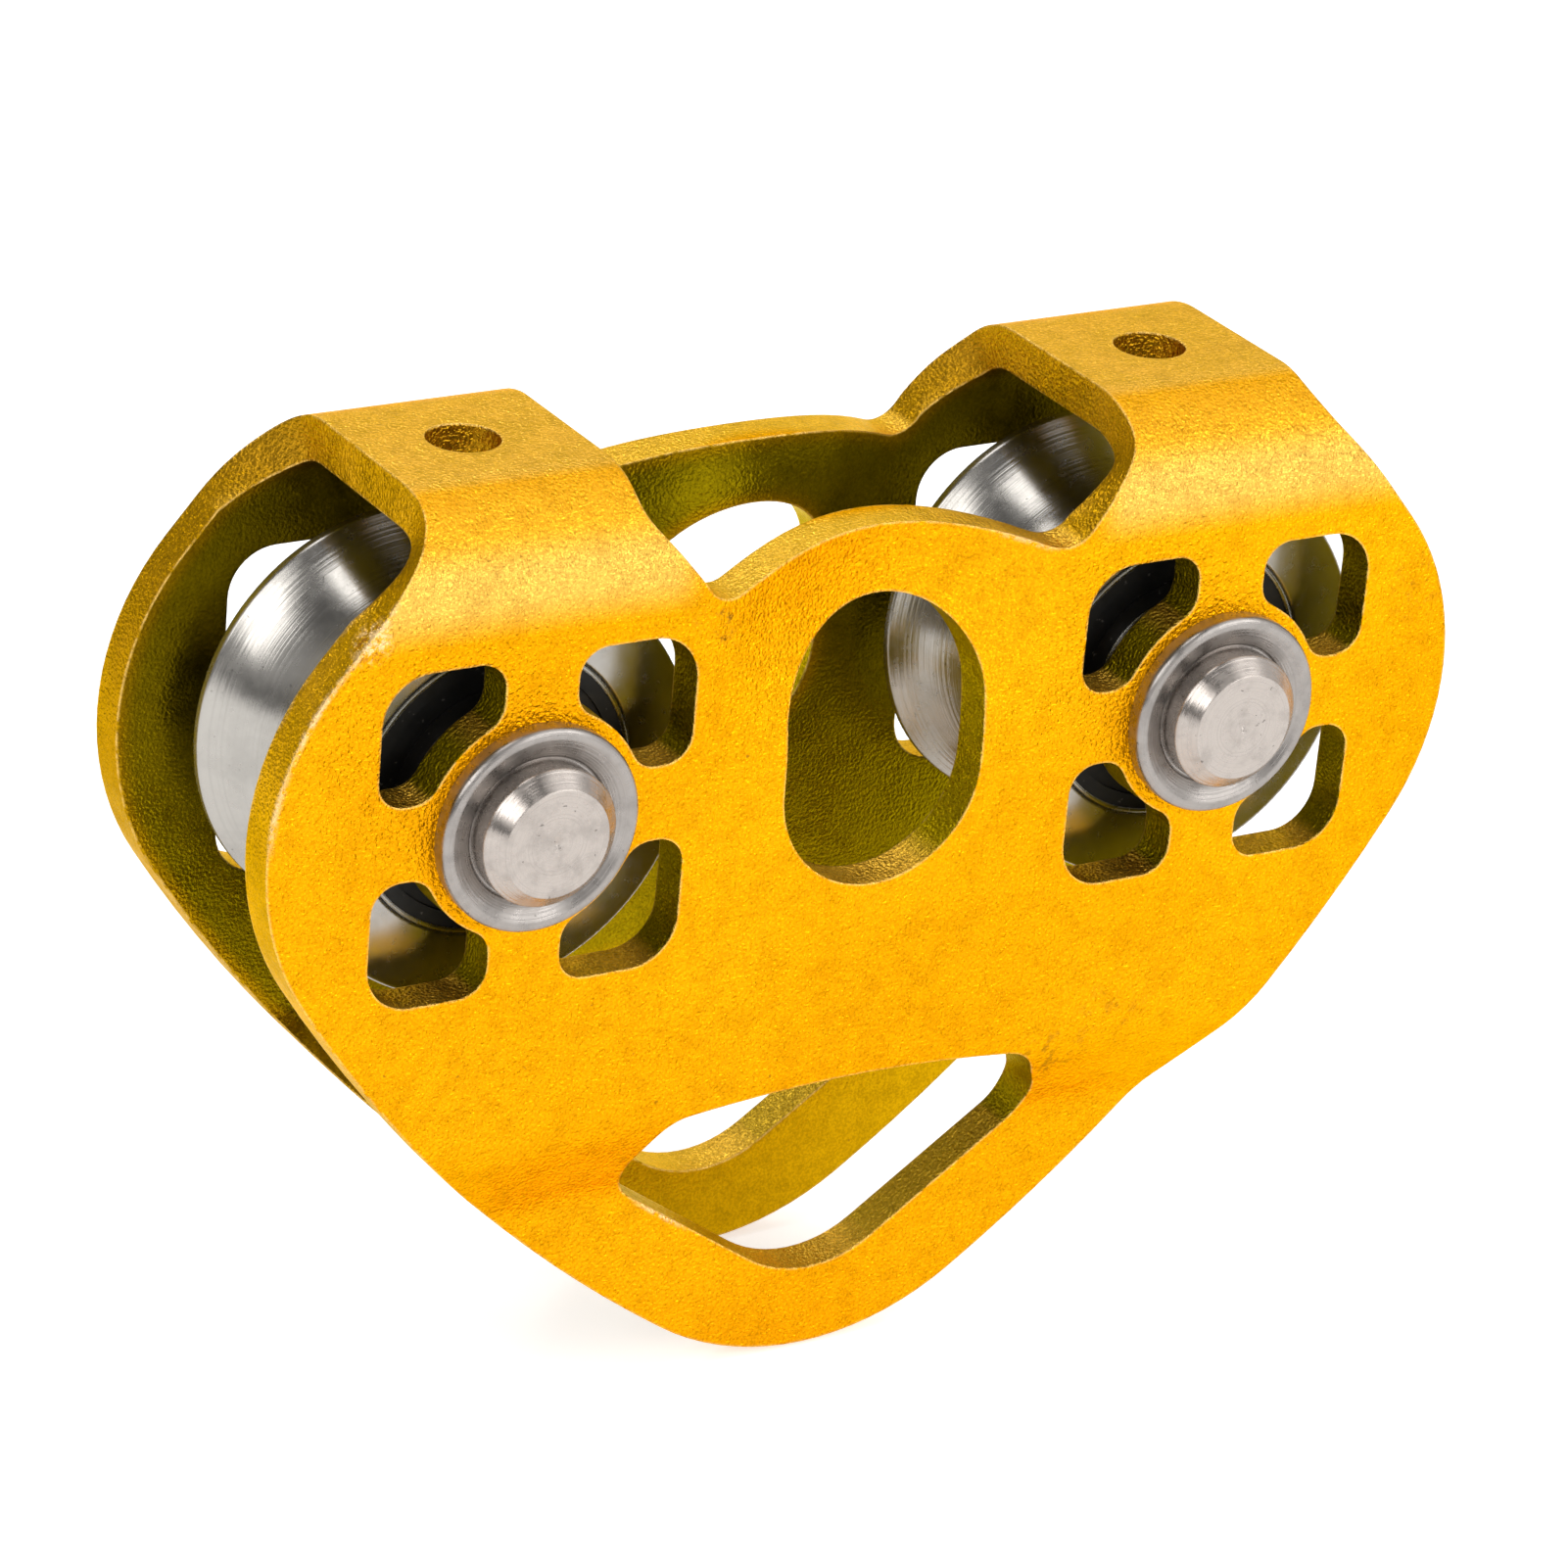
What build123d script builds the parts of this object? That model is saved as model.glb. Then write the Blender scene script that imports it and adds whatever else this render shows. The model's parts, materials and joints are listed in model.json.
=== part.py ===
from build123d import *
from math import acos, atan2, cos, degrees, hypot, pi, radians, sin, tan
import os

# Tandem rope pulley: one folded sheet carries two grooved sheaves, each on two sealed ball bearings.
# Millimetres. X runs along the rope, Y along the axles, Z up. The origin is the centre of the
# connector eye, midway between the two side plates.

# ---- folded body ----
axle_spacing = 74.0
axle_drop = 1.8            # axles below the centre of the connector eye
body_width = 35.0          # over the two side plates
sheet = 4.2
crown_z = 28.75            # top face of the straps
bend_r = 10.0              # outside radius of the folds
lobe_r = 26.6              # ends of the side plates, round the axles
shoulder_angle = 40.0      # where the lobe runs into the straight shoulder
flank_r = 154.5
tip_z, tip_r = -36.5, 28.8
strap_in, strap_out = 26.4, 47.1
shoulder_corner, shoulder_blend = 8.8, 3.8   # outer strap edge: run up the fold to its corner
notch_corner, notch_blend = 7.35, 2.0        # inner strap edge, likewise
notch_slope = 1.25
notch_r, notch_end = 3.4, 18.8
tongue_z, tongue_r = 20.6, 44.6
joggle_z, joggle_r, joggle_angle, joggle_run = -32.7, 8.15, 28.0, 6.06
joggle_bottom = -70.0
fold_steps = 10

# ---- tongue pressed inwards between the straps ----
press_half_width = 21.0
press_low, press_high = -1.7, 22.3
press_across = (0, 0, 1.28, 1.28, 1.28, 0, 0)
press_up = (0, 0, 2.56, 7.45, 5.04, 5.54)

# ---- openings in the body ----
eye_r, eye_straight = 10.66, 6.5
slot_arch_z, slot_shoulder = -34.0, (19.9, -35.5)
slot_flank, slot_point_z = (23.9, -43.2), -59.6
slot_end_r, slot_bottom_r = 4.3, 12.0
strap_hole_r = 3.5
axle_hole_r = 6.05
window_near = 3.7          # sides of a window, from the axle
window_far_x, window_far_z = 15.95, 16.45
window_ring_r = 11.2
window_horn_r, window_corner_r = 2.8, 4.7

# ---- axles, washers and spacers ----
axle_r, head_r = 6.0, 6.75
axle_half = 22.1
head_chamfer = 1.5
dimple_r, dimple_depth = 0.7, 0.2
washer_r, washer_thick, washer_round = 10.0, 1.8, 0.6
washer_recess_r, washer_recess = 7.05, 1.0
washer_flat_r, washer_dish = 9.0, 0.8
slip = 0.03                # radial clearance of a ring on its axle
spacer_r = 8.4

# ---- sheaves ----
sheave_r, sheave_half = 20.5, 10.0
groove_half, groove_bottom_r = 9.0, 16.0
bore_rib_r = 12.5
bore_chamfer, rim_round = 0.3, 0.3

# ---- ball bearings, 12 x 28 x 8 ----
race_r, race_width = 14.0, 8.0
race_gap = 4.0             # between the two bearings of a sheave
pitch_r, ball_r, ball_count = 10.0, 2.381, 8
track_r = 2.46
inner_shoulder_r, outer_shoulder_r = 8.6, 11.5
seal_seat_r, seal_seat = 13.6, 0.9
seal_gap, seal_lip = 0.15, 0.06
seal_groove_r, seal_groove = (10.2, 12.2), 0.3
cage_r, cage_half = (9.3, 10.7), 2.9
pocket_r = 2.45

# ---- derived ----
half_width = body_width / 2
axle_x, axle_z = axle_spacing / 2, -axle_drop
inner_face = half_width - sheet
fold_y, fold_z = half_width - bend_r, crown_z - bend_r
lobe_centre, tip_centre = Vector(axle_x, axle_z), Vector(0, tip_z)
bearing_y = (race_gap + race_width) / 2
seal_floor, seal_top = race_width / 2 - seal_seat, race_width / 2 - seal_gap
seal_section = [(inner_shoulder_r + seal_lip, seal_floor), (seal_seat_r, seal_floor),
                (seal_seat_r, seal_top), (seal_groove_r[1], seal_top),
                (seal_groove_r[1], seal_top - seal_groove),
                (seal_groove_r[0], seal_top - seal_groove), (seal_groove_r[0], seal_top),
                (inner_shoulder_r + seal_lip, seal_top)]
window_reach = hypot(window_far_x, window_far_z)
same = 0.01                # two coordinates closer than this are one
through = half_width + 1   # depth of a cut from the middle through one side plate


def ramp(run, blend):
    """Zero below -blend, the run itself above blend, a parabola between."""
    if run <= -blend:
        return 0.0
    if run >= blend:
        return run
    return (run + blend) ** 2 / (4 * blend)


def shoulder_x(run):
    """Outer edge of a strap, at a run measured up the fold from its start."""
    return strap_out + ramp(shoulder_corner - run, shoulder_blend) * tan(radians(shoulder_angle))


def notch_x(run):
    """Inner edge of a strap, at a run measured up the fold from its start."""
    return strap_in - ramp(notch_corner - run, notch_blend) / notch_slope


def polar_angle(vector):
    """Direction of a vector, in degrees."""
    return degrees(atan2(vector.Y, vector.X))


def axle_distance(vertex):
    """Distance of a sketch vertex from the nearer axle line."""
    return hypot(abs(vertex.X) - axle_x, vertex.Y - axle_z)


def flank_centre():
    """Centre of the flank arc, which wraps both the tip arc and the lobe arc."""
    across = lobe_centre - tip_centre
    to_tip, to_lobe = flank_r - tip_r, flank_r - lobe_r
    along = (to_tip**2 - to_lobe**2 + across.length**2) / (2 * across.length)
    aside = (to_tip**2 - along**2) ** 0.5
    unit = across.normalized()
    return tip_centre + unit * along + Vector(-unit.Y, unit.X) * aside


# ---- outline of a side plate, up to the start of the fold ----
flank = flank_centre()
tip_end = polar_angle(tip_centre - flank)
lobe_start = polar_angle(lobe_centre - flank)
with BuildSketch(Plane.XZ) as plate_outline:
    with BuildLine():
        CenterArc((0, tip_z), tip_r, -90, tip_end + 90)
        CenterArc((flank.X, flank.Y), flank_r, tip_end, lobe_start - tip_end)
        lobe = CenterArc((axle_x, axle_z), lobe_r, lobe_start, shoulder_angle - lobe_start)
        shoulder = Line(lobe @ 1, (shoulder_x(0), fold_z))
        step = Line(shoulder @ 1, (notch_x(0), fold_z))
        crest_z = tongue_z - tongue_r
        crest_start = degrees(acos(notch_end / tongue_r))
        Line(step @ 1, (notch_end, crest_z + tongue_r * sin(radians(crest_start))))
        CenterArc((0, crest_z), tongue_r, crest_start, 90 - crest_start)
        mirror(about=Plane.YZ)
    make_face()
    fillet([v for v in plate_outline.vertices() if abs(abs(v.X) - notch_end) < same and v.Y > 0], notch_r)

# ---- flat wall, joggle and lower lip, as a sheet swept across the body ----
with BuildPart() as wall:
    with BuildSketch(Plane.YZ):
        with BuildLine():
            upper = Line((sheet / 2 - half_width, fold_z), (sheet / 2 - half_width, joggle_z))
            bend_in = JernArc(upper @ 1, (0, -1), joggle_r, joggle_angle)
            slant = Line(bend_in @ 1, (bend_in @ 1) + (bend_in % 1) * joggle_run)
            bend_out = JernArc(slant @ 1, slant % 1, joggle_r, -joggle_angle)
            Line(bend_out @ 1, ((bend_out @ 1).X, joggle_bottom))
        trace(line_width=sheet)
    extrude(amount=axle_spacing, both=True)
    extrude(plate_outline.sketch, amount=through, mode=Mode.INTERSECT)
    with Locations((0, -half_width, press_low)):
        Box(2 * press_half_width, 3 * sheet, press_high - press_low, mode=Mode.SUBTRACT,
            align=(Align.CENTER, Align.CENTER, Align.MIN))

# ---- tongue, dished inwards ----
across_step = 2 * press_half_width / (len(press_across) - 1)
up_step = (press_high - press_low) / (len(press_up) - 1)
press_scale = max(press_across)
press_grid = [
    [(-press_half_width + i * across_step, across * up / press_scale - half_width, press_low + j * up_step)
     for j, up in enumerate(press_up)]
    for i, across in enumerate(press_across)
]
with BuildPart() as tongue:
    extrude(Face.make_bezier_surface(press_grid), amount=sheet, dir=(0, 1, 0))
    extrude(plate_outline.sketch, amount=through, mode=Mode.INTERSECT)

# ---- fold from a wall up to its strap ----
with BuildPart() as fold:
    for number in range(fold_steps + 1):
        turn = pi / 2 * number / fold_steps
        run = bend_r * turn
        middle, width = (shoulder_x(run) + notch_x(run)) / 2, shoulder_x(run) - notch_x(run)
        section = Plane((0, -fold_y, fold_z), x_dir=(1, 0, 0), z_dir=(0, -sin(turn), -cos(turn)))
        with BuildSketch(section):
            with Locations((middle, bend_r - sheet / 2)):
                Rectangle(width, 2 * sheet)
    loft()
    with BuildSketch(Plane.YZ.offset(axle_x)):
        with Locations((-fold_y, fold_z)):
            Circle(bend_r)
            Circle(bend_r - sheet, mode=Mode.SUBTRACT)
    extrude(amount=axle_spacing / 2, both=True, mode=Mode.INTERSECT)

with BuildPart() as strap:
    with Locations(((strap_in + strap_out) / 2, 0, crown_z)):
        Box(strap_out - strap_in, 2 * fold_y, sheet, align=(Align.CENTER, Align.CENTER, Align.MAX))

# ---- folded body ----
with BuildPart() as folded_body:
    add(wall.part)
    add(tongue.part)
    add(fold.part)
    add(fold.part.mirror(Plane.YZ))
    mirror(about=Plane.XZ)
    add(strap.part)
    add(strap.part.mirror(Plane.YZ))
    with BuildSketch(Plane.XZ) as side_openings:
        SlotCenterToCenter(eye_straight, 2 * eye_r, rotation=90)
        with BuildLine():
            ThreePointArc((-slot_shoulder[0], slot_shoulder[1]), (0, slot_arch_z), slot_shoulder)
            Polyline(slot_shoulder, slot_flank, (0, slot_point_z), (-slot_flank[0], slot_flank[1]),
                     (-slot_shoulder[0], slot_shoulder[1]))
        make_face()
        fillet([v for v in side_openings.vertices() if abs(v.Y - slot_point_z) < same], slot_bottom_r)
        slot_ends = [v for v in side_openings.vertices()
                     if v.Y < slot_arch_z and abs(v.X) > slot_shoulder[0] - same]
        fillet(slot_ends, slot_end_r)
    extrude(amount=through, both=True, mode=Mode.SUBTRACT)
    with BuildSketch(Plane.XZ) as axle_openings:
        with Locations((axle_x, axle_z), (-axle_x, axle_z)):
            with GridLocations(window_near + window_far_x, window_near + window_far_z, 2, 2):
                Rectangle(window_far_x - window_near, window_far_z - window_near)
        with Locations((axle_x, axle_z), (-axle_x, axle_z)):
            Circle(window_ring_r, mode=Mode.SUBTRACT)
        far_corners = [v for v in axle_openings.vertices() if axle_distance(v) > window_reach - same]
        fillet(far_corners, window_corner_r)
        horns = [v for v in axle_openings.vertices() if abs(abs(v.Y - axle_z) - window_near) < same
                 or abs(abs(abs(v.X) - axle_x) - window_near) < same]
        fillet(horns, window_horn_r)
        with Locations((axle_x, axle_z), (-axle_x, axle_z)):
            Circle(axle_hole_r)
    extrude(amount=through, both=True, mode=Mode.SUBTRACT)
    with BuildSketch(Plane.XY.offset(crown_z)):
        with Locations((axle_x, 0), (-axle_x, 0)):
            Circle(strap_hole_r)
    extrude(amount=-2 * sheet, mode=Mode.SUBTRACT)
folded_body.part.label = "folded_body"

pieces = [folded_body.part]


def turned(name, x, outline):
    """Ring or shaft turned about an axle line, from its (radius, y) outline."""
    with BuildPart() as piece:
        with BuildSketch(Plane((x, 0, axle_z))):
            with BuildLine():
                Polyline(*outline, close=True)
            make_face()
        revolve(axis=Axis((x, 0, axle_z), (0, 1, 0)))
    piece.part.label = name
    pieces.append(piece.part)


def washer(name, x, end):
    """Outer washer with a rounded rim and a recess for the axle head."""
    base, top = end * half_width, end * (half_width + washer_thick)
    floor = top - end * washer_recess
    with BuildPart() as piece:
        with BuildSketch(Plane((x, 0, axle_z))) as section:
            with BuildLine():
                Polyline((axle_r + slip, base), (washer_r, base), (washer_r, top), (washer_flat_r, top),
                         (washer_recess_r, top - end * washer_dish), (washer_recess_r, floor),
                         (axle_r + slip, floor), close=True)
            make_face()
            rim = section.vertices().group_by(Axis.X)[-1]
            fillet(rim.sort_by(Axis.Y)[0 if end < 0 else -1], washer_round)
        revolve(axis=Axis((x, 0, axle_z), (0, 1, 0)))
    piece.part.label = name
    pieces.append(piece.part)


def sheave(name, x):
    """Rope sheave, bored from both ends for its bearings with a rib left between them."""
    with BuildPart() as piece:
        with BuildSketch(Plane((x, 0, axle_z))) as section:
            with BuildLine():
                Polyline((sheave_r, -groove_half), (sheave_r, -sheave_half), (race_r, -sheave_half),
                         (race_r, -race_gap / 2), (bore_rib_r, -race_gap / 2), (bore_rib_r, race_gap / 2),
                         (race_r, race_gap / 2), (race_r, sheave_half), (sheave_r, sheave_half),
                         (sheave_r, groove_half))
                ThreePointArc((sheave_r, groove_half), (groove_bottom_r, 0), (sheave_r, -groove_half))
            make_face()
            fillet(section.vertices().group_by(Axis.X)[-1], rim_round)
            mouths = section.vertices().group_by(Axis.Y)
            chamfer([mouths[0].sort_by(Axis.X)[0], mouths[-1].sort_by(Axis.X)[0]], bore_chamfer)
        revolve(axis=Axis((x, 0, axle_z), (0, 1, 0)))
    piece.part.label = name
    pieces.append(piece.part)


def race(name, x, y, bore_r, track_side_r, rim):
    """Bearing ring, turned from its rim points and a round ball track."""
    depth = abs(pitch_r - track_side_r)
    lip = (track_r**2 - depth**2) ** 0.5
    deepest = pitch_r + track_r if track_side_r > pitch_r else pitch_r - track_r
    with BuildPart() as piece:
        with BuildSketch(Plane((x, y, axle_z))):
            with BuildLine():
                for way in (1, -1):
                    Polyline((track_side_r, way * lip), *[(r, way * v) for r, v in rim],
                             (bore_r, way * race_width / 2), (bore_r, 0))
                ThreePointArc((track_side_r, lip), (deepest, 0), (track_side_r, -lip))
            make_face()
        revolve(axis=Axis((x, y, axle_z), (0, 1, 0)))
    piece.part.label = name
    pieces.append(piece.part)


def balls(name, x, y):
    """Ring of balls, spaced evenly on the pitch circle."""
    with BuildPart(Plane((x, y, axle_z), x_dir=(1, 0, 0), z_dir=(0, -1, 0))) as piece:
        with PolarLocations(pitch_r, ball_count):
            Sphere(ball_r)
    piece.part.label = name
    pieces.append(piece.part)


def cage(name, x, y):
    """Cage ring with one round pocket for each ball."""
    with BuildPart(Plane((x, y, axle_z), x_dir=(1, 0, 0), z_dir=(0, -1, 0))) as piece:
        Cylinder(cage_r[1], 2 * cage_half)
        Cylinder(cage_r[0], 2 * cage_half, mode=Mode.SUBTRACT)
        with PolarLocations(pitch_r, ball_count):
            Cylinder(pocket_r, 2 * cage_r[1] - 2 * cage_r[0], rotation=(0, 90, 0), mode=Mode.SUBTRACT)
    piece.part.label = name
    pieces.append(piece.part)


def tube(inner_r, outer_r, start, stop):
    """Outline of a plain ring between two y values."""
    return [(inner_r, start), (outer_r, start), (outer_r, stop), (inner_r, stop)]


head_under = half_width + washer_thick - washer_recess
for side, x in {"left": -axle_x, "right": axle_x}.items():
    half_axle = [(0, axle_half - dimple_depth), (dimple_r, axle_half), (head_r - head_chamfer, axle_half),
                 (head_r, axle_half - head_chamfer), (head_r, head_under), (axle_r, head_under)]
    turned(f"{side}_axle", x, half_axle + [(r, -y) for r, y in reversed(half_axle)])
    sheave(f"{side}_sheave", x)
    turned(f"{side}_distance_sleeve", x, tube(axle_r + slip, spacer_r, -race_gap / 2, race_gap / 2))
    for end, sign in {"front": -1, "back": 1}.items():
        near = f"{side}_{end}"
        middle = sign * bearing_y
        washer(f"{near}_washer", x, sign)
        turned(f"{near}_spacer", x, tube(axle_r + slip, spacer_r, sign * sheave_half, sign * inner_face))
        race(f"{near}_outer_race", x, middle, race_r, outer_shoulder_r,
             [(outer_shoulder_r, seal_floor), (seal_seat_r, seal_floor), (seal_seat_r, race_width / 2)])
        race(f"{near}_inner_race", x, middle, axle_r + slip, inner_shoulder_r,
             [(inner_shoulder_r, race_width / 2)])
        balls(f"{near}_balls", x, middle)
        cage(f"{near}_cage", x, middle)
        for face, way in {"outer": sign, "inner": -sign}.items():
            turned(f"{near}_{face}_seal", x, [(r, middle + way * height) for r, height in seal_section])

os.makedirs("parts", exist_ok=True)
for piece in pieces:
    export_step(piece, f"parts/{piece.label}.step")
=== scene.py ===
import json
import bpy
from mathutils import Matrix, Vector


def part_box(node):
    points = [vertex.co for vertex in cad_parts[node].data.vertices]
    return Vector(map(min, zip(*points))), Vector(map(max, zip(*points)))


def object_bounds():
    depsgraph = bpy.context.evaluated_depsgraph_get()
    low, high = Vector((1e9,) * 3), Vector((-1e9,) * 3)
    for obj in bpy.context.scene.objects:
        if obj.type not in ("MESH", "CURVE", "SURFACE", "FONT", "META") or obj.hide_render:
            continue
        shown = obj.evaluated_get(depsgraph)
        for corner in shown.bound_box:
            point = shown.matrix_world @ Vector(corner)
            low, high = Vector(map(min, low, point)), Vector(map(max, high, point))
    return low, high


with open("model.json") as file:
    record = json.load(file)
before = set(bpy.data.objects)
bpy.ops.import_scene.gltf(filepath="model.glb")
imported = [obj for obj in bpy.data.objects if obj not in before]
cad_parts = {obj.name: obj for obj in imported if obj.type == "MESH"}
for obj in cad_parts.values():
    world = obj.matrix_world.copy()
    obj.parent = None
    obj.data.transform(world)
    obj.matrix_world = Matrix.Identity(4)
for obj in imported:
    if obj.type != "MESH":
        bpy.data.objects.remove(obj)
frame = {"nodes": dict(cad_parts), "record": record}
nodes = frame["nodes"]


def corners():
    return [list(v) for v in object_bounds()]


cad_box = corners()

# ---------- places on the object, in metres ----------
axle_low, axle_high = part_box("right_axle")
body_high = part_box("folded_body")[1]
AXLE_X, AXLE_Z = (axle_low.x + axle_high.x) / 2, (axle_low.z + axle_high.z) / 2
FOLD_R = 0.010  # outer radius of the folds at the top
FOLD_Y, FOLD_Z = body_high.y - FOLD_R, body_high.z - FOLD_R
BLEND = 0.0015  # over which the colour of a hole's walls fades into the rest of the cut edge
WINDOW_REACH, EYE_REACH = 0.0230, 0.0145
LIP_TOP, LIP_BLEND = -0.0330, 0.004
SLOT_HALF, SLOT_POINT, SLOT_SLOPE = 0.0265, -0.0596, 0.686
# each pair is where a change of colour starts and where it is complete
TONGUE_TO_STRAP = 0.0205, 0.0245  # along X, from the middle
# the painted highlight band on the folds starts at the first pair, and the painted deeper orange above it at
# the second
PALE_START, PALE_END = (0.0166, 0.0208), (0.0226, 0.0260)  # in height, on the folds
# the painted light on the inner face's outline starts this far from the axle line
RIM_START = 0.0215, 0.0250  # from the axle line
SHADE_END, SHADE_START = (0.0190, 0.0235), (0.046, 0.052)  # from the axle line, and along X
# the painted shade on the cut edge grows over this span towards the back plate
BACK_START = 0.0, 0.012  # along Y, towards the back plate
# marks of use on the sheet, with one painted highlight among the scuffs: (place, reach, strength)
STAINS = (((-0.0185, -0.0170, 0.0150), 0.0045, 0.9), ((0.0225, -0.0165, -0.0370), 0.0060, 0.55),
          ((0.0290, -0.0175, -0.0330), 0.0060, 0.30), ((0.0590, -0.0175, 0.0080), 0.0050, 0.35),
          ((0.0185, 0.0170, 0.0150), 0.0045, 0.6), ((-0.0260, 0.0165, -0.0360), 0.0060, 0.4))
SCUFFS_AND_HIGHLIGHT = (((-0.0545, -0.0170, 0.0185), 0.0055, 1.0), ((-0.0590, -0.0175, 0.0115), 0.0060, 1.0),
          ((-0.0620, -0.0175, 0.0035), 0.0055, 0.8), ((0.0590, 0.0175, 0.0110), 0.0070, 0.9),
          # below, the spot at (-0.0175, -0.0120, -0.0482) on the slot's lower-left edge is a painted
          # highlight; the other scuffs are wear
          ((0.0140, -0.0160, 0.0180), 0.0040, 0.6), ((-0.0175, -0.0120, -0.0482), 0.0045, 0.9))
CHIP, CHIP_SIZE = (-0.0546, -0.0173, 0.0186), 0.0028

# ---------- colours of the sheet, linear, painted highlights and painted shade among them; a pair is its darker and lighter patches ---
OUTER = (0.83, 0.343, 0.002), (0.90, 0.390, 0.003)
OUTER_CLOUD = (0.70, 0.300, 0.004)
# painted highlight: the pale colour of the band round each fold and of the strap tops
PAINTED_HIGHLIGHT = (0.83, 0.460, 0.060), (0.89, 0.500, 0.092)
# painted light: the deeper orange of the upper fold
PAINTED_CROWN = (0.95, 0.435, 0.020)
# painted shade: the inner face is the same gold, painted dark olive for the shade between the plates
SHADED_INNER = (0.225, 0.168, 0.001), (0.31, 0.225, 0.002)
# painted light: the amber on the inner face near its outline; painted shade: the dark beside the sheaves
INNER_RIM_LIGHT, INNER_SHADE = (0.60, 0.300, 0.002), (0.060, 0.046, 0.001)
# painted light: the inner face of the lower lip in a lighter, lit tone
INNER_LIP_LIT = (0.54, 0.300, 0.002)
CUT = (0.55, 0.292, 0.008), (0.67, 0.352, 0.016)
# painted shade: the back plate's cut edges darker; painted highlight: cut edges that face up lighter
CUT_BACK_SHADE, CUT_UPWARD_HIGHLIGHT = (0.40, 0.200, 0.008), (0.86, 0.50, 0.06)
# painted shade: the walls of the windows, eye and slot darker
CUT_WINDOW_SHADE, CUT_EYE_SHADE, CUT_SLOT_SHADE = (0.30, 0.225, 0.002), (0.44, 0.320, 0.004), (0.33, 0.240, 0.004)
STAIN, SPECK = (0.16, 0.075, 0.012), (0.20, 0.09, 0.01)
CHIP_BRIGHT, CHIP_DARK = (0.92, 0.62, 0.30), (0.36, 0.13, 0.03)
# the second colour tints the scuffs and the painted highlight on the slot's lower-left edge
WORN, SCUFF_AND_HIGHLIGHT_TINT = (1.0, 0.66, 0.20), (0.95, 0.68, 0.36)


# ---------- shader building ----------
class Shader:
    """One procedural material, built node by node."""

    def __init__(self, name, **constants):
        self.mat = bpy.data.materials.new(name)
        self.mat.use_nodes = True
        self.tree = self.mat.node_tree
        self.tree.nodes.clear()
        self.out = self.node("ShaderNodeOutputMaterial")
        self.bsdf = self.node("ShaderNodeBsdfPrincipled")
        for key, value in constants.items():
            self.bsdf.inputs[key.replace("_", " ")].default_value = value
        self.link(self.bsdf.outputs["BSDF"], self.out.inputs["Surface"])
        self.place = self.node("ShaderNodeTexCoord").outputs["Object"]
        self.x, self.y, self.z = self.split(self.place)
        self.aside = self.math("ABSOLUTE", self.x)

    def node(self, kind, **settings):
        made = self.tree.nodes.new(kind)
        for key, value in settings.items():
            setattr(made, key, value)
        return made

    def link(self, source, target):
        self.tree.links.new(source, target)

    def put(self, value, target):
        if isinstance(value, bpy.types.NodeSocket):
            self.link(value, target)
        else:
            target.default_value = value

    def math(self, operation, *values):
        made = self.node("ShaderNodeMath", operation=operation)
        for socket, value in zip(made.inputs, values):
            self.put(value, socket)
        return made.outputs[0]

    def times(self, first, *others):
        """Product of masks and numbers."""
        for other in others:
            first = self.math("MULTIPLY", first, other)
        return first

    def length(self, across, along):
        """Length of a flat vector from its two parts."""
        return self.math("SQRT", self.math("ADD", self.times(across, across), self.times(along, along)))

    def split(self, vector):
        made = self.node("ShaderNodeSeparateXYZ")
        self.link(vector, made.inputs[0])
        return made.outputs

    def dot(self, a, b):
        made = self.node("ShaderNodeVectorMath", operation="DOT_PRODUCT")
        self.link(a, made.inputs[0])
        self.link(b, made.inputs[1])
        return made.outputs["Value"]

    def ramp(self, value, low, high, out_low=0.0, out_high=1.0):
        made = self.node("ShaderNodeMapRange", interpolation_type="SMOOTHSTEP")
        for socket, item in zip(made.inputs, (value, low, high, out_low, out_high)):
            self.put(item, socket)
        return made.outputs[0]

    def stretched(self, x, y, z):
        made = self.node("ShaderNodeVectorMath", operation="MULTIPLY")
        self.link(self.place, made.inputs[0])
        made.inputs[1].default_value = (x, y, z)
        return made.outputs[0]

    def noise(self, scale, detail=2.0, rough=0.5, vector=None):
        made = self.node("ShaderNodeTexNoise")
        self.link(vector or self.place, made.inputs["Vector"])
        made.inputs["Scale"].default_value = scale
        made.inputs["Detail"].default_value = detail
        made.inputs["Roughness"].default_value = rough
        return made.outputs["Fac"]

    def rings(self, value, scale, detail=3.0):
        """One-dimensional noise, for lines left by a lathe."""
        made = self.node("ShaderNodeTexNoise", noise_dimensions="1D")
        self.link(value, made.inputs["W"])
        made.inputs["Scale"].default_value = scale
        made.inputs["Detail"].default_value = detail
        return made.outputs["Fac"]

    def mix(self, fac, a, b, blend="MIX"):
        made = self.node("ShaderNodeMix", data_type="RGBA", blend_type=blend)
        self.put(fac, made.inputs[0])
        for value, socket in ((a, made.inputs[6]), (b, made.inputs[7])):
            self.put(value if isinstance(value, bpy.types.NodeSocket) else (*value, 1.0), socket)
        return made.outputs[2]

    def tinted(self, colour, marks, pattern, tint):
        """The colour with a tint over it at each mark, broken up by a pattern."""
        for spot, size, share in marks:
            near = self.times(self.blot(spot, size), share)
            colour = self.mix(self.times(near, pattern), colour, tint)
        return colour

    def bump(self, height, distance, strength=1.0, normal=None):
        made = self.node("ShaderNodeBump")
        made.inputs["Strength"].default_value = strength
        made.inputs["Distance"].default_value = distance
        self.link(height, made.inputs["Height"])
        if normal is not None:
            self.link(normal, made.inputs["Normal"])
        return made.outputs["Normal"]

    def rounded(self, radius):
        """Normal with the edges rounded over."""
        made = self.node("ShaderNodeBevel", samples=6)
        made.inputs["Radius"].default_value = radius
        return made.outputs["Normal"]

    def normal(self):
        """The surface's own normal."""
        return self.node("ShaderNodeNewGeometry").outputs["Normal"]

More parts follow.
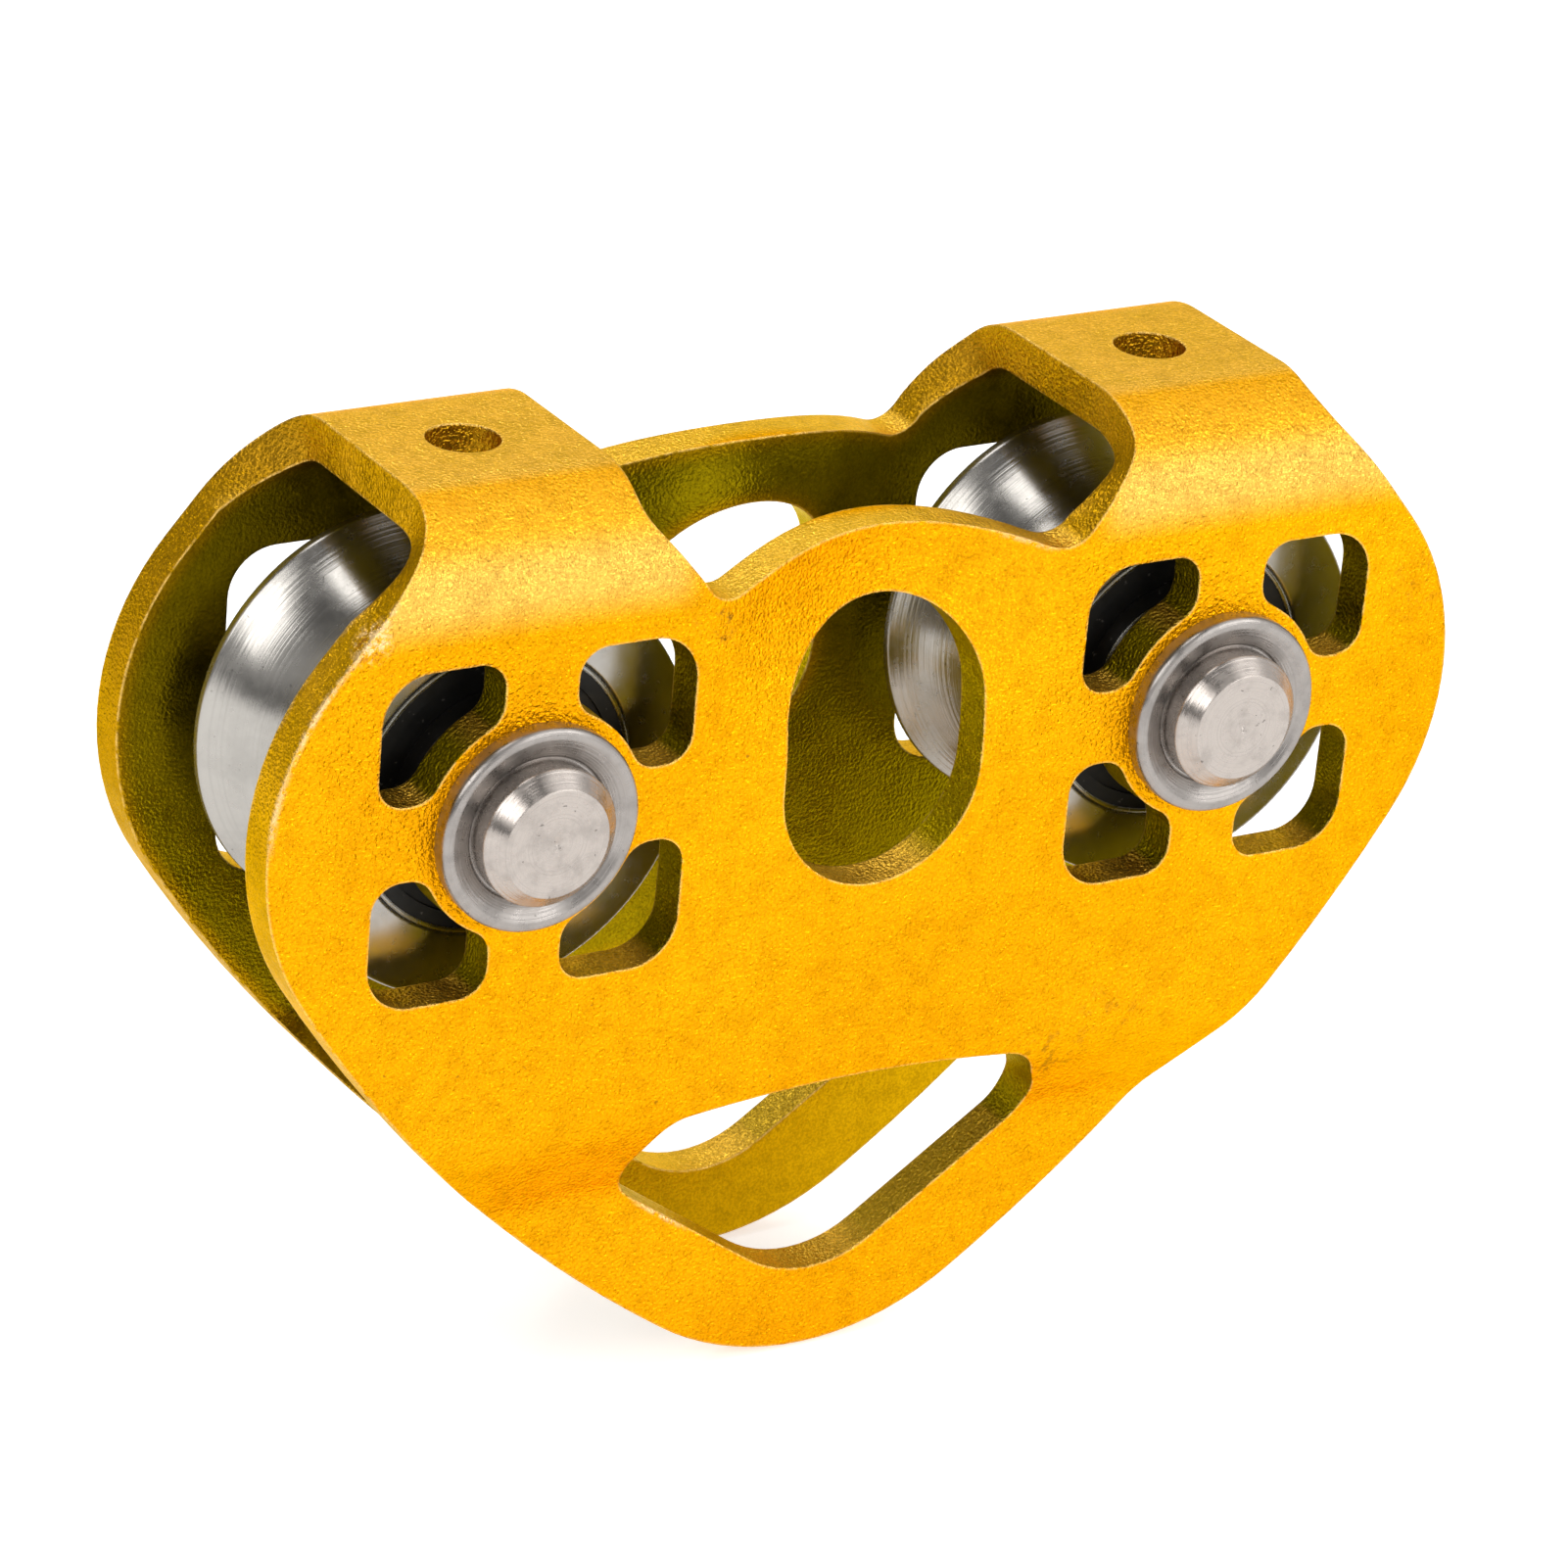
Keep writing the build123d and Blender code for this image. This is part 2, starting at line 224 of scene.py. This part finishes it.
    def edge(self, radius, low, high):
        """Mask that rises to 1 on sharp edges."""
        return self.ramp(self.dot(self.rounded(radius), self.normal()), low, high, 1.0, 0.0)

    def axle_radius(self):
        """Distance from the nearer axle line, in metres."""
        return self.length(self.math("SUBTRACT", self.aside, AXLE_X), self.math("SUBTRACT", self.z, AXLE_Z))

    def outward(self):
        """How far the sheet's surface faces away from the inside of the fold.

        It is 1 on the outer face, 0 on a cut edge and -1 on the inner face.
        """
        beyond = self.math("SUBTRACT", self.math("ABSOLUTE", self.y), FOLD_Y)
        across = self.times(self.math("SIGN", self.y), self.math("MAXIMUM", beyond, 0.0))
        above = self.math("MAXIMUM", self.math("SUBTRACT", self.z, FOLD_Z), 0.0)
        radial = self.node("ShaderNodeCombineXYZ")
        self.link(across, radial.inputs[1])
        self.link(above, radial.inputs[2])
        unit = self.node("ShaderNodeVectorMath", operation="NORMALIZE")
        self.link(radial.outputs[0], unit.inputs[0])
        return self.dot(unit.outputs[0], self.normal())

    def upward(self):
        """How far the surface faces up."""
        return self.split(self.normal())[2]

    def in_slot(self):
        """Mask over the walls of the lower slot, a triangle with its point down."""
        above_point = self.math("SUBTRACT", self.z, self.times(self.aside, SLOT_SLOPE))
        below_top = self.ramp(self.z, LIP_TOP, LIP_TOP + BLEND, 1.0, 0.0)
        inside = self.ramp(self.aside, SLOT_HALF, SLOT_HALF + BLEND, 1.0, 0.0)
        above = self.ramp(above_point, SLOT_POINT - 2 * BLEND, SLOT_POINT - BLEND)
        return self.times(above, self.times(below_top, inside))

    def blot(self, spot, size):
        """Soft round mask about a point of the surface."""
        away = self.node("ShaderNodeVectorMath", operation="DISTANCE")
        self.link(self.place, away.inputs[0])
        away.inputs[1].default_value = spot
        return self.ramp(away.outputs["Value"], 0.2 * size, size, 1.0, 0.0)

    def finish(self, colour, roughness, normal=None):
        self.link(colour, self.bsdf.inputs["Base Color"])
        self.link(roughness, self.bsdf.inputs["Roughness"])
        if normal is not None:
            self.link(normal, self.bsdf.inputs["Normal"])
        return self.mat


# ---------- the gold sheet ----------
def outer_face(s, patch, cloud):
    """Outer face: orange gold, with a painted highlight as a pale band round each fold, a deeper orange
    painted above the band for how the upper fold takes the light, and a painted highlight on the strap tops.
    """
    strap = s.ramp(s.aside, *TONGUE_TO_STRAP)
    painted_highlight = s.mix(patch, *PAINTED_HIGHLIGHT)
    colour = s.mix(s.ramp(patch, 0.36, 0.66), *OUTER)
    colour = s.mix(s.ramp(cloud, 0.54, 0.76, 0.0, 0.22), colour, OUTER_CLOUD)
    colour = s.mix(s.times(strap, s.ramp(s.z, *PALE_START)), colour, painted_highlight)
    colour = s.mix(s.times(strap, s.ramp(s.z, *PALE_END)), colour, PAINTED_CROWN)
    # painted highlight on the strap tops, where they face up
    return s.mix(s.times(strap, s.ramp(s.upward(), 0.960, 0.998)), colour, painted_highlight)


def inner_face(s, patch):
    """Inner face: olive as painted shade, amber near the outline as painted light, a lighter tone on the
    lower lip as painted light, and darker painted shade beside the sheaves.
    """
    # painted shade: dark olive over the whole inner face
    colour = s.mix(s.ramp(patch, 0.36, 0.66), *SHADED_INNER)
    # painted light: the inner face lighter near its outline
    rim = s.times(s.edge(0.0042, 0.72, 1.0), s.ramp(s.axle_radius(), *RIM_START))
    colour = s.mix(s.times(rim, 0.85), colour, INNER_RIM_LIGHT)
    # painted shade: the inner face darkened beside the sheaves, as a contact shadow
    shade = s.times(s.ramp(s.axle_radius(), *SHADE_END, 1.0, 0.0), s.ramp(s.aside, *SHADE_START))
    colour = s.mix(s.times(shade, 0.6), colour, INNER_SHADE)
    # painted light: the lower lip's inner face lighter than the rest
    return s.mix(s.ramp(s.z, LIP_TOP - LIP_BLEND, LIP_TOP, 1.0, 0.0), colour, INNER_LIP_LIT)


def cut_edge(s, cloud):
    """Cut edge of the sheet, and the walls of its holes, with painted shade towards the back plate and on
    the walls of the windows, eye and slot, and a painted highlight on the edges that face up.
    """
    windows = s.ramp(s.axle_radius(), WINDOW_REACH, WINDOW_REACH + BLEND, 1.0, 0.0)
    eye = s.ramp(s.length(s.x, s.z), EYE_REACH, EYE_REACH + BLEND, 1.0, 0.0)
    colour = s.mix(s.ramp(cloud, 0.40, 0.70), *CUT)
    # painted shade on the back plate's cut edges
    colour = s.mix(s.ramp(s.y, *BACK_START, 0.0, 0.7), colour, CUT_BACK_SHADE)
    # painted shade on the walls of the windows, the eye and the slot, here and in the next two lines
    colour = s.mix(windows, colour, CUT_WINDOW_SHADE)
    colour = s.mix(eye, colour, CUT_EYE_SHADE)
    colour = s.mix(s.in_slot(), colour, CUT_SLOT_SHADE)
    # painted highlight on the cut edges that face up
    return s.mix(s.ramp(s.upward(), 0.70, 0.95), colour, CUT_UPWARD_HIGHLIGHT)


def marked(s, colour):
    """The colour with stains, the chip, specks, the finish worn off the edges, and scuffs, one of which is a
    painted highlight on the slot's lower-left edge.
    """
    colour = s.tinted(colour, STAINS, s.ramp(s.noise(520.0, 4.0, 0.7), 0.50, 0.66), STAIN)
    chip = s.blot(CHIP, CHIP_SIZE)
    flakes = s.noise(1300.0, 4.0, 0.7)
    colour = s.mix(s.times(chip, s.ramp(flakes, 0.48, 0.56)), colour, CHIP_BRIGHT)
    colour = s.mix(s.times(chip, s.ramp(flakes, 0.45, 0.38)), colour, CHIP_DARK)
    colour = s.mix(s.ramp(s.noise(900.0, 1.0, 0.4), 0.80, 0.83, 0.0, 0.55), colour, SPECK)
    wear = s.times(s.edge(0.00045, 0.84, 0.98), s.ramp(s.noise(700.0, 3.0, 0.6), 0.34, 0.54))
    colour = s.mix(s.times(wear, 0.70), colour, WORN)
    broad = s.times(s.edge(0.0012, 0.86, 0.985), s.ramp(s.noise(1500.0, 3.0, 0.65), 0.40, 0.52))
    # scuffs on the edges, with a painted highlight on the slot's lower-left edge
    return s.tinted(colour, SCUFFS_AND_HIGHLIGHT, broad, SCUFF_AND_HIGHLIGHT_TINT)


def gold():
    """Anodised sheet, with different colours on its outer face, inner face and cut edge, which carry painted
    highlights and painted shade.
    """
    s = Shader("anodised_gold", Metallic=1.0, Specular_Tint=(1.0, 0.82, 0.30, 1.0))
    facing = s.outward()
    patch = s.noise(30.0, 3.0, 0.55)
    cloud = s.noise(130.0, 4.0, 0.6)
    off_inner = s.ramp(facing, -0.75, -0.35)
    colour = s.mix(off_inner, inner_face(s, patch), cut_edge(s, cloud))
    colour = s.mix(s.ramp(facing, 0.35, 0.75), colour, outer_face(s, patch, cloud))
    colour = s.mix(1.0, colour, s.ramp(s.noise(3600.0, 1.0, 0.5), 0.34, 0.66, 1.08, 0.84), "MULTIPLY")
    colour = s.mix(1.0, colour, s.ramp(s.noise(440.0, 4.0, 0.65), 0.42, 0.68, 1.02, 0.87), "MULTIPLY")
    colour = marked(s, colour)
    rough = s.ramp(s.noise(240.0, 3.0, 0.6), 0.3, 0.7, 0.29, 0.41)
    grain = s.math("ADD", s.times(s.noise(3000.0, 1.0, 0.5), 0.85), s.times(s.noise(1200.0, 2.0, 0.5), 0.15))
    grain = s.times(grain, s.ramp(facing, -0.75, -0.35, 0.35, 1.0))
    brushed = s.noise(1.0, 3.0, 0.55, s.stretched(420.0, 2600.0, 2600.0))
    normal = s.bump(grain, 0.00031, 1.0, s.rounded(0.0004))
    return s.finish(colour, rough, s.bump(brushed, 0.00004, 0.5, normal))


# ---------- the other materials ----------
def steel(name, base, rough, rings, along_y=False, mottle=(420.0, 0.80), pitted=0.7):
    """Turned metal: fine lathe lines, mottling and small pits, with highlights drawn across the lines.

    rough is the lowest and highest roughness, rings the lines' scale and depth, and mottle the
    patches' scale and darkness.
    """
    s = Shader(name, Metallic=1.0, Anisotropic=0.6, Anisotropic_Rotation=0.25)
    tangent = s.node("ShaderNodeTangent", direction_type="RADIAL", axis="Y")
    s.link(tangent.outputs[0], s.bsdf.inputs["Tangent"])
    line = s.rings(s.y if along_y else s.axle_radius(), rings[0])
    dark = tuple(mottle[1] * c for c in base)
    colour = s.mix(s.ramp(s.noise(mottle[0], 4.0, 0.65), 0.42, 0.70), base, dark)
    colour = s.mix(s.ramp(line, 0.45, 0.75, 0.0, 0.5), colour, dark)
    pit = s.ramp(s.noise(1700.0, 2.0, 0.5), 0.71, 0.76)
    colour = s.mix(s.times(pit, pitted), colour, tuple(0.25 * c for c in base))
    roughness = s.ramp(s.noise(700.0, 3.0, 0.6), 0.3, 0.7, *rough)
    return s.finish(colour, roughness, s.bump(line, rings[1], 0.7, s.rounded(0.0003)))


def rubber():
    """Black seal with a little dust and faint moulded rings."""
    s = Shader("seal_rubber", Metallic=0.0, Specular_IOR_Level=0.35)
    dust = s.ramp(s.noise(1300.0, 2.0, 0.5), 0.68, 0.74, 0.0, 0.5)
    colour = s.mix(dust, (0.004, 0.004, 0.004), (0.16, 0.15, 0.14))
    rough = s.ramp(s.noise(400.0, 2.0, 0.5), 0.3, 0.7, 0.45, 0.62)
    ring = s.rings(s.axle_radius(), 900.0, 1.0)
    return s.finish(colour, rough, s.bump(ring, 0.00005, 0.4))


def nylon():
    """Moulded bearing cage."""
    s = Shader("cage_nylon", Metallic=0.0)
    colour = s.mix(s.noise(200.0), (0.50, 0.46, 0.36), (0.58, 0.54, 0.44))
    return s.finish(colour, s.ramp(s.noise(500.0), 0.3, 0.7, 0.45, 0.6))


materials = {
    "gold_sheet": gold(),
    "axle_steel": steel("axle_steel", (0.44, 0.395, 0.36), (0.20, 0.32), (5200.0, 0.00004)),
    "sheave_metal": steel("sheave_steel", (0.40, 0.38, 0.35), (0.22, 0.28), (3300.0, 0.00004),
                          along_y=True, mottle=(160.0, 0.86), pitted=0.60),
    "bearing_steel": steel("bearing_steel", (0.34, 0.34, 0.33), (0.20, 0.30), (6500.0, 0.00002)),
    "seal_rubber": rubber(),
    "cage_nylon": nylon(),
}
washer_steel = steel("washer_steel", (0.33, 0.305, 0.285), (0.24, 0.36), (5200.0, 0.00004))
slots = {p["node"]: p["material_slot"] for p in frame["record"]["subparts"]}
for name, obj in nodes.items():
    obj.data.materials.clear()
    obj.data.materials.append(washer_steel if name.endswith("washer") else materials[slots[name]])

# ---------- floor ----------
FLOOR_HALF, FLOOR_GAP = 4.0, 0.0005


def paper():
    """White paper that glows a little, so that the floor stays white as in the photo."""
    mat = bpy.data.materials.new("floor_paper")
    mat.use_nodes = True
    bsdf = mat.node_tree.nodes["Principled BSDF"]
    bsdf.inputs["Base Color"].default_value = (0.80, 0.80, 0.80, 1.0)
    bsdf.inputs["Roughness"].default_value = 0.9
    bsdf.inputs["Specular IOR Level"].default_value = 0.1
    bsdf.inputs["Emission Color"].default_value = (1.0, 1.0, 1.0, 1.0)
    bsdf.inputs["Emission Strength"].default_value = 0.55
    return mat


floor_z = cad_box[0][2] - FLOOR_GAP
floor_mesh = bpy.data.meshes.new("floor")
floor_corners = [(x * FLOOR_HALF, y * FLOOR_HALF, floor_z) for x, y in ((-1, -1), (1, -1), (1, 1), (-1, 1))]
floor_mesh.from_pydata(floor_corners, [], [(0, 1, 2, 3)])
floor = bpy.data.objects.new("floor", floor_mesh)
floor.data.materials.append(paper())
bpy.context.collection.objects.link(floor)


# ---------- lights ----------
def softbox(name, direction, distance, size, power):
    """Rectangular light, aimed at the object from a direction."""
    data = bpy.data.lights.new(name, "AREA")
    data.shape = "RECTANGLE"
    data.size, data.size_y = size
    data.energy = power
    lamp = bpy.data.objects.new(name, data)
    away = Vector(direction).normalized()
    lamp.location = away * distance
    lamp.rotation_mode = "QUATERNION"
    lamp.rotation_quaternion = away.to_track_quat("Z", "Y")
    bpy.context.collection.objects.link(lamp)


softbox("key", direction=(0.49, -0.76, 0.42), distance=1.5, size=(1.2, 0.75), power=7.5)
softbox("fill", direction=(-0.68, -0.53, 0.50), distance=1.6, size=(1.25, 0.7), power=9.5)
softbox("rim", direction=(-0.11, 0.77, 0.63), distance=1.6, size=(0.5, 0.35), power=4.0)
softbox("top", direction=(-0.22, 0.00, 0.97), distance=1.5, size=(1.3, 0.5), power=7.0)


# ---------- surroundings that the metal mirrors ----------
# a wall's stops are (the direction's Z, grey)
# those of LEFT_TO_RIGHT are (the direction's X, the right wall's share)
LEFT_WALL = (0.0, 0.22), (0.12, 0.20), (0.28, 0.60), (0.48, 0.60), (0.66, 0.22), (0.95, 0.12)
RIGHT_WALL = (0.0, 0.85), (0.15, 0.95), (0.42, 0.85), (0.62, 1.30), (0.95, 1.35)
LEFT_TO_RIGHT = (0.05, 0.0), (0.40, 1.0)


def bands(tree, source, stops):
    """Grey ramp over a value from 0 to 1."""
    made = tree.nodes.new("ShaderNodeValToRGB")
    tree.links.new(source, made.inputs["Fac"])
    elements = made.color_ramp.elements
    elements[0].position, elements[1].position = stops[0][0], stops[-1][0]
    for stop in stops[1:-1]:
        elements.new(stop[0])
    for element, (_, grey) in zip(elements, stops):
        element.color = (grey, grey, grey, 1.0)
    return made.outputs["Color"]


def studio():
    """World with a darker wall on the left and a brighter one on the right."""
    world = bpy.data.worlds.new("studio")
    world.use_nodes = True
    tree = world.node_tree
    direction = tree.nodes.new("ShaderNodeTexCoord")
    split = tree.nodes.new("ShaderNodeSeparateXYZ")
    tree.links.new(direction.outputs["Generated"], split.inputs[0])
    both = tree.nodes.new("ShaderNodeMix")
    both.data_type = "RGBA"
    tree.links.new(bands(tree, split.outputs[0], LEFT_TO_RIGHT), both.inputs[0])
    tree.links.new(bands(tree, split.outputs[2], LEFT_WALL), both.inputs[6])
    tree.links.new(bands(tree, split.outputs[2], RIGHT_WALL), both.inputs[7])
    tree.links.new(both.outputs[2], tree.nodes["Background"].inputs["Color"])
    tree.nodes["Background"].inputs["Strength"].default_value = 1.0
    return world


bpy.context.scene.world = studio()
bpy.context.scene.view_settings.view_transform = "Standard"

# ---------- camera, at the photo's angle ----------
LENS, SENSOR = 149.96, 36.0
CAMERA_AT = Vector((-0.30453, -0.47584, 0.24453))
CAMERA_RIGHT = Vector((0.85873, -0.50569, 0.08280))
CAMERA_UP = Vector((0.14513, 0.39498, 0.90715))
CAMERA_BACK = Vector((-0.49144, -0.76699, 0.41257))
camera_data = bpy.data.cameras.new("camera")
camera_data.lens, camera_data.sensor_width = LENS, SENSOR
camera_data.clip_start, camera_data.clip_end = 0.01, 20.0
camera = bpy.data.objects.new("camera", camera_data)
turn = Matrix((CAMERA_RIGHT, CAMERA_UP, CAMERA_BACK)).transposed()
camera.matrix_world = Matrix.Translation(CAMERA_AT) @ turn.to_4x4()
bpy.context.collection.objects.link(camera)
bpy.context.scene.camera = camera
